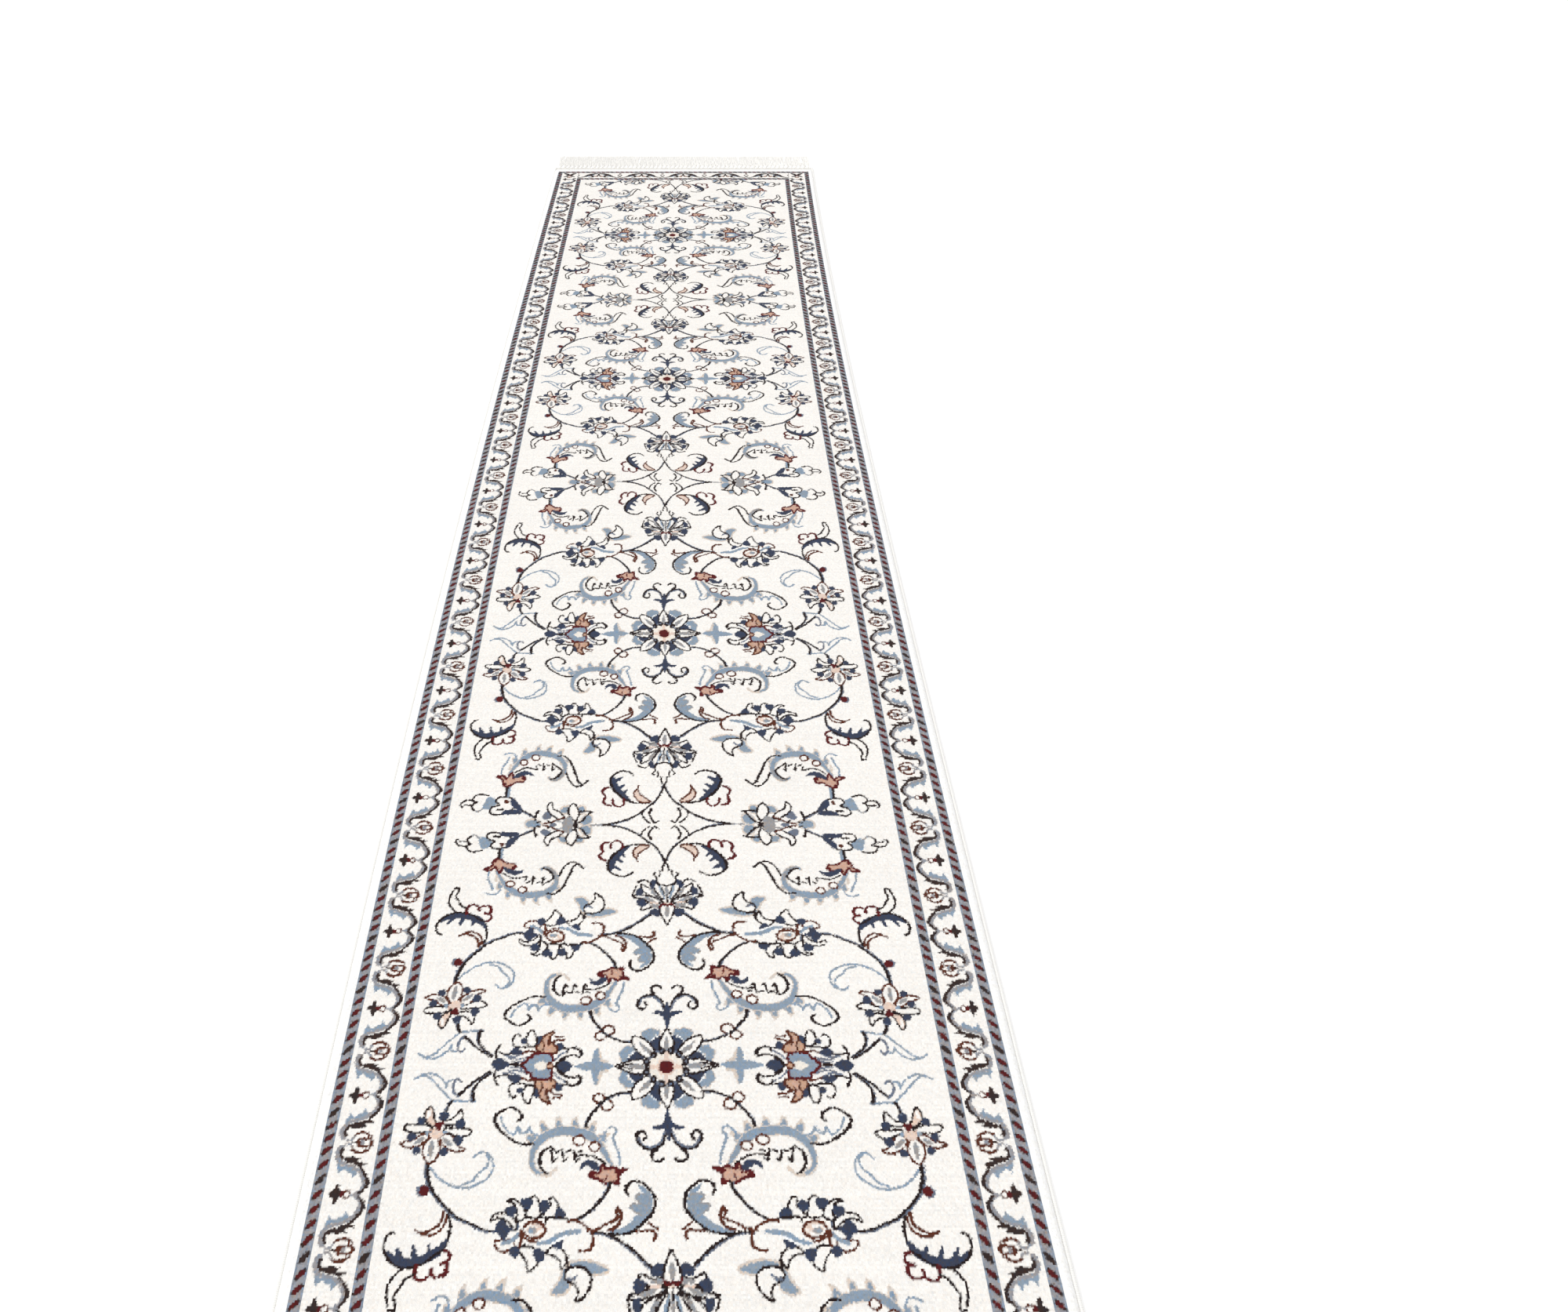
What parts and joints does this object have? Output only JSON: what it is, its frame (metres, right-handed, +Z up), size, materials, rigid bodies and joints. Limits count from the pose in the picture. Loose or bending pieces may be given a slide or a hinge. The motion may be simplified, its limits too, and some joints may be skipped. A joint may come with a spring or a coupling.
{
  "type": "runner rug",
  "caption": "Long hand-knotted ivory runner rug with blue floral scrollwork, striped guards, vine borders and cotton fringes; folds in half.",
  "frame": {"origin": "centre of the underside, on the floor", "axes": "+Y runs along the rug towards its far end, +X across it to the right, +Z up out of the pile"},
  "size_m": [0.732, 3.29, 0.009],
  "materials": {
    "field_wool": "cut wool pile, ivory ground with knotted floral pattern",
    "guard_wool": "cut wool pile, grey with slanted dark bars",
    "border_wool": "cut wool pile, cream ground with a vine",
    "edge_wool": "cut wool pile, plain cream",
    "selvedge_wool": "wool yarn, wrapped",
    "warp_cotton": "cotton yarn",
    "foundation_cotton": "woven cotton with knot backs",
    "kilim_cotton": "flat-woven cotton",
    "stitch_cotton": "twined cotton",
    "fringe_cotton": "loosely plied cotton warp ends"
  },
  "bodies": {
    "near_half": {"chain_stitch_near": "stitch_cotton", "field_pile_near_1": "field_wool", "field_pile_near_2": "field_wool", "foundation_near": "foundation_cotton", "fringe_near": "fringe_cotton", "inner_guard_end_near": "guard_wool", "inner_guard_left_near": "guard_wool", "inner_guard_right_near": "guard_wool", "kilim_skirt_near": "kilim_cotton", "main_border_end_near": "border_wool", "main_border_left_near": "border_wool", "main_border_right_near": "border_wool", "outer_guard_end_near": "guard_wool", "outer_guard_left_near": "guard_wool", "outer_guard_right_near": "guard_wool", "plain_edge_end_near": "edge_wool", "plain_edge_left_near": "edge_wool", "plain_edge_right_near": "edge_wool", "selvedge_core_left_near": "warp_cotton", "selvedge_core_right_near": "warp_cotton", "selvedge_wrap_left_near": "selvedge_wool", "selvedge_wrap_right_near": "selvedge_wool"},
    "far_half": {"chain_stitch_far": "stitch_cotton", "field_pile_far_1": "field_wool", "field_pile_far_2": "field_wool", "foundation_far": "foundation_cotton", "fringe_far": "fringe_cotton", "inner_guard_end_far": "guard_wool", "inner_guard_left_far": "guard_wool", "inner_guard_right_far": "guard_wool", "kilim_skirt_far": "kilim_cotton", "main_border_end_far": "border_wool", "main_border_left_far": "border_wool", "main_border_right_far": "border_wool", "outer_guard_end_far": "guard_wool", "outer_guard_left_far": "guard_wool", "outer_guard_right_far": "guard_wool", "plain_edge_end_far": "edge_wool", "plain_edge_left_far": "edge_wool", "plain_edge_right_far": "edge_wool", "selvedge_core_left_far": "warp_cotton", "selvedge_core_right_far": "warp_cotton", "selvedge_wrap_left_far": "selvedge_wool", "selvedge_wrap_right_far": "selvedge_wool"}
  },
  "joints": [
    {"name": "middle_fold", "type": "hinge", "parent": "near_half", "child": "far_half", "pos_m": [0, 0, 0.00915], "axis": [1, 0, 0], "range_deg": [0, 180]}
  ]
}
